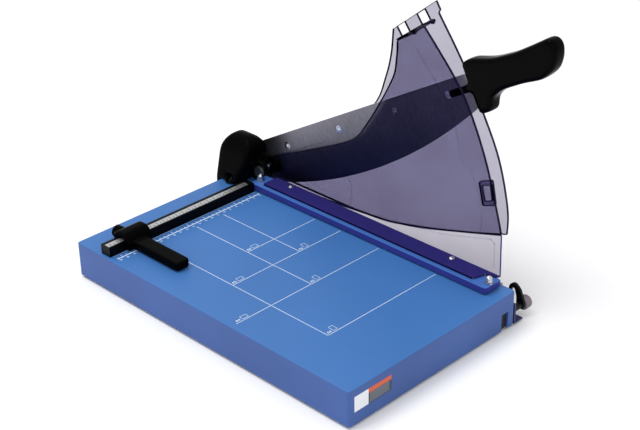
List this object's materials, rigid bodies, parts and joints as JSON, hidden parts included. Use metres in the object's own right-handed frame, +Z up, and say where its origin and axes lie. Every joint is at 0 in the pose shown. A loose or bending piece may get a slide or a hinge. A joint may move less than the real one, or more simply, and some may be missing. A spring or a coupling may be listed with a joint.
{
  "type": "guillotine paper trimmer",
  "caption": "Table paper trimmer with a lever-arm blade, fan guard, clamp bar, guide rail, sliding back gauge, safety latch and printed paper-size lines.",
  "frame": {"origin": "centre of the outline seen from above, on the plane under the rubber feet", "axes": "+Y away from the user, from the front edge towards the guide rail; +X along the guide rail, from the back gauge towards the cutting arm; +Z up"},
  "size_m": [0.3026, 0.4854, 0.3465],
  "materials": {
    "blue_paint": "satin",
    "clamp_paint": "satin",
    "dark_paint": "satin",
    "black_paint": "satin",
    "black_plastic": "satin",
    "grip_plastic": "gloss",
    "grey_plastic": "matt",
    "rubber": "matt",
    "ground_steel": "ground",
    "plain_steel": "satin",
    "bar_steel": "brushed",
    "bright_steel": "polished",
    "bronze": "satin",
    "aluminium": "satin",
    "smoke_guard": "clear",
    "clear_guard": "clear",
    "violet_guard": "clear"
  },
  "bodies": {
    "base": {"base_shell": "blue_paint", "bed_knife": "ground_steel", "knife_beam": "dark_paint", "guide_rail": "black_plastic", "rail_inlay": "aluminium", "pivot_bracket": "black_paint", "pivot_shaft": "ground_steel", "pivot_washer": "plain_steel", "pivot_nut": "bright_steel", "pivot_cover": "black_plastic", "cover_screw": "bright_steel", "guard_near_plate": "smoke_guard", "guard_screw": "bright_steel", "guard_far_plate": "clear_guard", "guard_clip": "violet_guard", "latch_stud": "black_paint", "foot_1": "rubber", "foot_2": "rubber", "foot_3": "rubber", "foot_4": "rubber", "knife_screw_1": "plain_steel", "knife_screw_2": "plain_steel", "knife_screw_3": "plain_steel", "knife_screw_4": "plain_steel", "rail_screw_1": "plain_steel", "rail_screw_2": "plain_steel", "rail_screw_3": "plain_steel", "bracket_screw_1": "plain_steel", "bracket_screw_2": "plain_steel", "bridge_screw_1": "bright_steel", "bridge_screw_2": "bright_steel"},
    "arm": {"blade": "ground_steel", "arm_bar": "bar_steel", "arm_bush": "bronze", "blade_screw_1": "bright_steel", "blade_screw_2": "bright_steel", "blade_screw_3": "bright_steel", "blade_screw_4": "bright_steel", "handle": "grip_plastic", "handle_screw_1": "plain_steel", "handle_screw_2": "plain_steel"},
    "clamp": {"clamp_bar": "clamp_paint", "clamp_crossbar": "plain_steel", "lower_guard": "violet_guard", "shield_screw_1": "bright_steel", "shield_screw_2": "bright_steel", "clamp_stud_1": "plain_steel", "clamp_stud_2": "plain_steel", "clamp_washer_1": "bright_steel", "clamp_washer_2": "bright_steel", "clamp_nut_1": "bright_steel", "clamp_nut_2": "bright_steel", "clamp_spring_1": "plain_steel", "clamp_spring_2": "plain_steel"},
    "gauge": {"gauge_body": "black_plastic"},
    "gauge_knob": {"gauge_knob": "black_plastic"},
    "latch": {"latch_hook": "black_paint", "latch_knob": "grey_plastic"}
  },
  "joints": [
    {"name": "arm_hinge", "type": "hinge", "parent": "base", "child": "arm", "pos_m": [0.12375, 0.19074, 0.0605], "axis": [1, 0, 0], "range_deg": [-8, 32]},
    {"name": "clamp_slide", "type": "slide", "parent": "base", "child": "clamp", "axis": [0, 0, 1], "range_m": [-0.0012, 0.0003], "deforming": ["clamp_spring_1", "clamp_spring_2"]},
    {"name": "gauge_slide", "type": "slide", "parent": "base", "child": "gauge", "axis": [1, 0, 0], "range_m": [-0.02, 0.15]},
    {"name": "gauge_knob_turn", "type": "hinge", "parent": "gauge", "child": "gauge_knob", "pos_m": [-0.11125, 0.20174, 0.0561], "axis": [0, 1, 0], "range_deg": [0, 270]},
    {"name": "latch_hinge", "type": "hinge", "parent": "base", "child": "latch", "pos_m": [0.13805, -0.20326, 0.015], "axis": [1, 0, 0], "range_deg": [0, 60]}
  ],
  "couplings": [
    {"joint": "clamp_slide", "follows": "arm_hinge", "m_per_rad": -0.00214}
  ]
}
